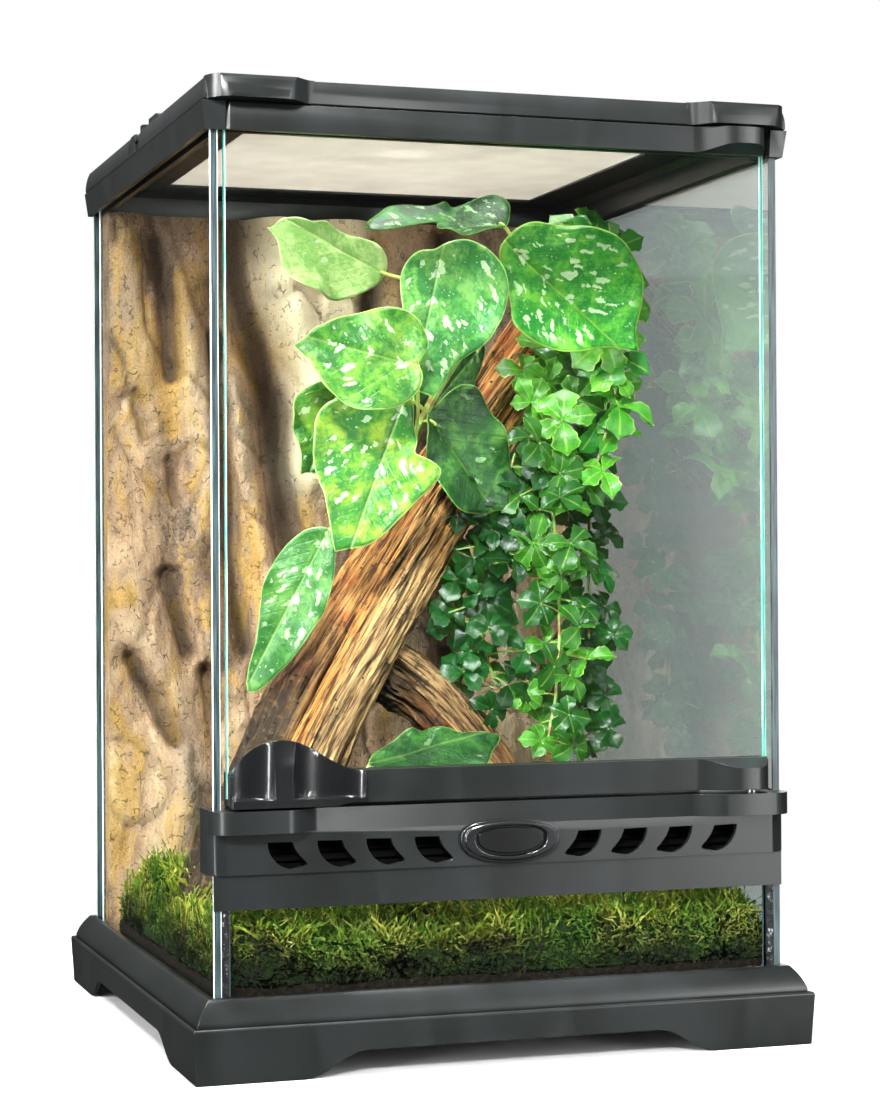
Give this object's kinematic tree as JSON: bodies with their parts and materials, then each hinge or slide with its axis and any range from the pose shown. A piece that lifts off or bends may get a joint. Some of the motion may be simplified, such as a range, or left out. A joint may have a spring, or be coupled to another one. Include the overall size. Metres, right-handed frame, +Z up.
{
  "type": "reptile terrarium",
  "caption": "Tall glass terrarium for reptiles: side-hinged glass door over a vented front bar, moulded plinth and top frame, lift-off screen cover, planted inside.",
  "frame": {"origin": "centre of the plinth's underside, on the surface that it stands on", "axes": "+Z up along the tall side, door at -Y, +X to the right as one faces the door, hinge at +X"},
  "size_m": [0.3156, 0.3156, 0.4695],
  "materials": {
    "black_plastic": "fine moulded satin",
    "dark_plastic": "fine moulded satin",
    "clear_glass": "polished float glass with ground edges",
    "silicone": "cured silicone bead",
    "bezel_plastic": "polished moulding",
    "plate_plastic": "polished, blank",
    "pin_steel": "bright steel rod",
    "steel_mesh": "fine woven wire",
    "rock_foam": "painted moulded foam",
    "soil": "moist fibre substrate",
    "moss": "leafy moss",
    "driftwood": "weathered, cracked along the grain",
    "leaf_green": "waxy leaf",
    "vine_green": "waxy leaf"
  },
  "bodies": {
    "tank": {"base_frame": "black_plastic", "bottom_pane": "clear_glass", "left_pane": "clear_glass", "right_pane": "clear_glass", "rear_pane": "clear_glass", "front_lower_pane": "clear_glass", "silicone_seams": "silicone", "vent_bar": "black_plastic", "vent_insert": "dark_plastic", "badge_bezel": "bezel_plastic", "badge_plate": "plate_plastic", "door_catch": "dark_plastic", "top_frame": "black_plastic", "rock_background": "rock_foam", "soil_bed": "soil", "moss_bed": "moss", "driftwood_log": "driftwood", "driftwood_branch": "driftwood", "climbing_stem": "vine_green", "leaf_pale": "leaf_green", "leaf_upper_left": "leaf_green", "leaf_upper_mid": "leaf_green", "leaf_upper_right": "leaf_green", "leaf_mid_left": "leaf_green", "leaf_heart": "leaf_green", "leaf_back": "leaf_green", "leaf_dark": "leaf_green", "leaf_long": "leaf_green", "leaf_curled": "leaf_green", "leaf_low": "leaf_green", "vine_front": "vine_green", "vine_middle": "vine_green", "vine_rear": "vine_green", "vine_low": "vine_green"},
    "door": {"door_glass": "clear_glass", "door_top_rail": "black_plastic", "door_bottom_rail": "black_plastic", "door_grip": "black_plastic", "hinge_pin_top": "pin_steel", "hinge_pin_bottom": "pin_steel"},
    "screen_cover": {"lid_frame": "black_plastic", "lid_side_edges": "black_plastic", "lid_mesh": "steel_mesh"},
    "lock_left": {"lid_lock_left": "black_plastic"},
    "lock_right": {"lid_lock_right": "black_plastic"},
    "gate_left": {"inlet_gate_left": "dark_plastic"},
    "gate_right": {"inlet_gate_right": "dark_plastic"}
  },
  "joints": [
    {"name": "door_hinge", "type": "hinge", "parent": "tank", "child": "door", "pos_m": [0.128, -0.1485, 0], "axis": [0, 0, 1], "range_deg": [0, 120]},
    {"name": "cover_lift", "type": "slide", "parent": "tank", "child": "screen_cover", "axis": [0, 0, 1], "range_m": [0, 0.06]},
    {"name": "lock_left_slide", "type": "slide", "parent": "tank", "child": "lock_left", "axis": [0, 1, 0], "range_m": [-0.012, 0]},
    {"name": "lock_right_slide", "type": "slide", "parent": "tank", "child": "lock_right", "axis": [0, 1, 0], "range_m": [-0.012, 0]},
    {"name": "gate_left_slide", "type": "slide", "parent": "tank", "child": "gate_left", "axis": [1, 0, 0], "range_m": [0, 0.03]},
    {"name": "gate_right_slide", "type": "slide", "parent": "tank", "child": "gate_right", "axis": [-1, 0, 0], "range_m": [0, 0.03]}
  ]
}
